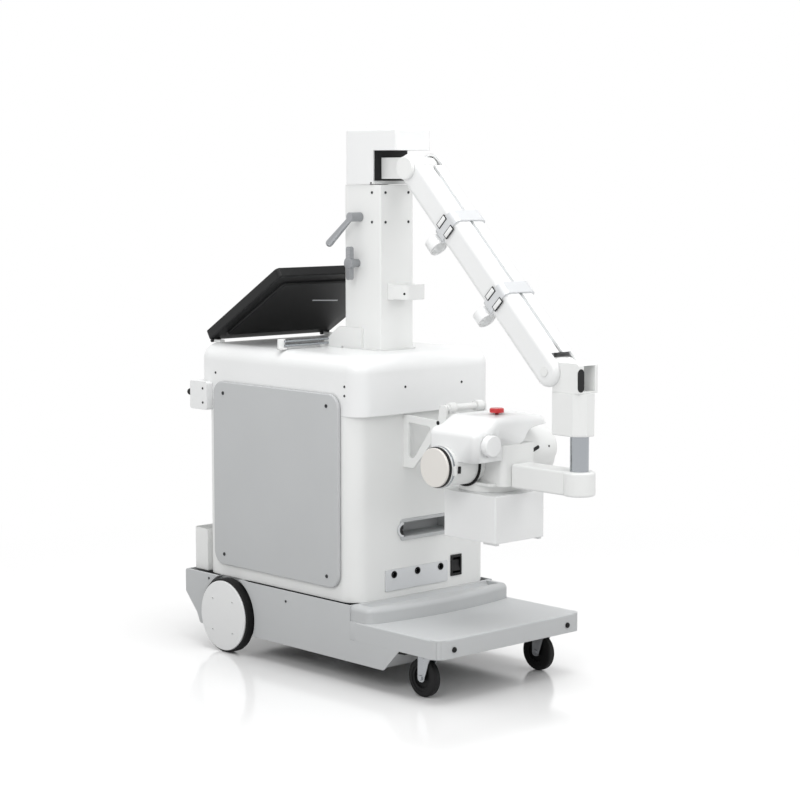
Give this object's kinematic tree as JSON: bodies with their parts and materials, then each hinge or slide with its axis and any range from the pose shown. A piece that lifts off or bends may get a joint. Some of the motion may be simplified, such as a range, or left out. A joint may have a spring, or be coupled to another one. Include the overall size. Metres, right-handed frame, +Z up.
{
  "type": "mobile x-ray machine",
  "caption": "Wheeled x-ray cabinet with a column, a balanced jointed arm that carries a tube head with collimator, a tilting monitor, casters and driven wheels.",
  "frame": {"origin": "on the floor, below the centre of the machine's box", "axes": "+Z up, -Y to the front where the tube head is, +X to the machine's left as seen from the front"},
  "size_m": [0.6946, 1.598, 1.752],
  "materials": {
    "white_enamel": "satin powder coat",
    "white_casting": "painted casting",
    "white_moulding": "satin moulding",
    "grey_enamel": "fine textured powder coat",
    "grey_panel": "satin",
    "frame_steel": "black primer",
    "black_rubber": "matt",
    "black_plastic": "fine grain",
    "tyre_rubber": "matt",
    "screen_glass": "gloss",
    "window_plastic": "clear",
    "bare_steel": "brushed",
    "dark_steel": "blackened",
    "chrome": "polished",
    "clip_aluminium": "anodised",
    "cap_cream": "satin",
    "button_red": "gloss",
    "battery_case": "painted",
    "generator_case": "painted"
  },
  "bodies": {
    "base": {"chassis_frame": "frame_steel", "base_skirt": "grey_enamel", "platform_deck": "grey_enamel", "front_sill": "grey_panel", "rubber_trims": "black_rubber", "cabinet_shell": "white_enamel", "cabinet_screws": "dark_steel", "top_cover": "white_moulding", "side_panels": "grey_panel", "detector_pocket": "grey_panel", "connector_plate": "clip_aluminium", "sockets": "black_plastic", "dock_cradle": "white_enamel", "rear_bin": "white_enamel", "handle_brackets": "white_moulding", "push_handle": "black_rubber", "battery_packs": "battery_case", "xray_generator": "generator_case", "control_electronics": "generator_case", "drive_motors": "bare_steel", "column": "white_enamel", "column_fittings": "bare_steel", "cable_holder": "white_enamel", "monitor_hinges": "white_enamel"},
    "wheel_left": {"wheel_tyre_left": "tyre_rubber", "wheel_hub_left": "white_moulding"},
    "wheel_right": {"wheel_tyre_right": "tyre_rubber", "wheel_hub_right": "white_moulding"},
    "caster_left": {"caster_fork_left": "bare_steel"},
    "caster_right": {"caster_fork_right": "bare_steel"},
    "roller_left": {"caster_wheel_left": "tyre_rubber"},
    "roller_right": {"caster_wheel_right": "tyre_rubber"},
    "turret": {"turret_cap": "white_moulding", "shoulder_block": "white_casting", "turret_bearing": "bare_steel"},
    "arm": {"arm_shell_left": "white_moulding", "arm_shell_right": "white_moulding", "arm_spine": "clip_aluminium", "cable_clip_bands": "clip_aluminium", "cable_clip_rings": "white_moulding"},
    "post": {"elbow_head": "white_casting", "post_block": "white_casting"},
    "wrist": {"wrist_arm": "white_casting", "wrist_shafts": "chrome"},
    "head": {"head_casting": "white_casting", "tube_housing": "white_casting", "end_cap": "cap_cream", "end_cap_rim": "black_plastic", "xray_tube": "clip_aluminium", "head_cover": "white_moulding"},
    "lock_knob": {"roll_lock_knob": "white_moulding"},
    "button": {"release_button": "button_red"},
    "collimator": {"collimator_case": "white_moulding", "collimator_window": "window_plastic", "shutters": "bare_steel"},
    "lever": {"clamp_lever": "bare_steel"},
    "monitor": {"monitor_case": "black_plastic", "monitor_screen": "screen_glass"},
    "rocker": {"mains_rocker": "black_plastic"}
  },
  "joints": [
    {"name": "wheel_left_spin", "type": "hinge", "parent": "base", "child": "wheel_left", "pos_m": [0, 0.5466, 0.125], "axis": [1, 0, 0], "continuous": true},
    {"name": "wheel_right_spin", "type": "hinge", "parent": "base", "child": "wheel_right", "pos_m": [0, 0.5466, 0.125], "axis": [1, 0, 0], "continuous": true},
    {"name": "caster_left_swivel", "type": "hinge", "parent": "base", "child": "caster_left", "pos_m": [-0.256, -0.376, 0.13], "axis": [0, 0, 1], "continuous": true},
    {"name": "roller_left_spin", "type": "hinge", "parent": "caster_left", "child": "roller_left", "pos_m": [-0.256, -0.348, 0.061], "axis": [1, 0, 0], "continuous": true},
    {"name": "caster_right_swivel", "type": "hinge", "parent": "base", "child": "caster_right", "pos_m": [0.256, -0.376, 0.13], "axis": [0, 0, 1], "continuous": true},
    {"name": "roller_right_spin", "type": "hinge", "parent": "caster_right", "child": "roller_right", "pos_m": [0.256, -0.348, 0.061], "axis": [1, 0, 0], "continuous": true},
    {"name": "arm_swivel", "type": "hinge", "parent": "base", "child": "turret", "pos_m": [0, 0.1411, 1.57], "axis": [0, 0, 1], "range_deg": [-90, 90]},
    {"name": "arm_lift", "type": "hinge", "parent": "turret", "child": "arm", "pos_m": [0, -0.058, 1.623], "axis": [-1, 0, 0], "range_deg": [0, 36]},
    {"name": "post_level", "type": "hinge", "parent": "arm", "child": "post", "pos_m": [0, -0.662, 1.016], "axis": [-1, 0, 0], "range_deg": [-36, 0]},
    {"name": "wrist_swivel", "type": "hinge", "parent": "post", "child": "wrist", "pos_m": [0, -0.75, 0.827], "axis": [0, 0, 1], "range_deg": [-170, 170]},
    {"name": "head_roll", "type": "hinge", "parent": "wrist", "child": "head", "pos_m": [0, -0.503, 0.683], "axis": [0, 1, 0], "range_deg": [-90, 90]},
    {"name": "collimator_turn", "type": "hinge", "parent": "head", "child": "collimator", "pos_m": [0, -0.376, 0.625], "axis": [0, 0, 1], "range_deg": [-90, 90]},
    {"name": "lock_knob_turn", "type": "hinge", "parent": "head", "child": "lock_knob", "pos_m": [-0.128, -0.518, 0.783], "axis": [0, -1, 0], "range_deg": [0, 90]},
    {"name": "release_button_press", "type": "slide", "parent": "head", "child": "button", "axis": [0, 0, -1], "range_m": [0, 0.004], "stiffness_N_per_m": 900},
    {"name": "clamp_lever_turn", "type": "hinge", "parent": "base", "child": "lever", "pos_m": [-0.0723, 0.151, 1.466], "axis": [1, 0, 0], "range_deg": [-15, 60]},
    {"name": "monitor_tilt", "type": "hinge", "parent": "base", "child": "monitor", "pos_m": [0, 0.701, 1.04], "axis": [-1, 0, 0], "range_deg": [0, 25]},
    {"name": "mains_rocker_tilt", "type": "hinge", "parent": "base", "child": "rocker", "pos_m": [0.148, -0.068, 0.3215], "axis": [1, 0, 0], "range_deg": [0, 12]}
  ],
  "couplings": [
    {"joint": "post_level", "follows": "arm_lift", "ratio": -1}
  ]
}
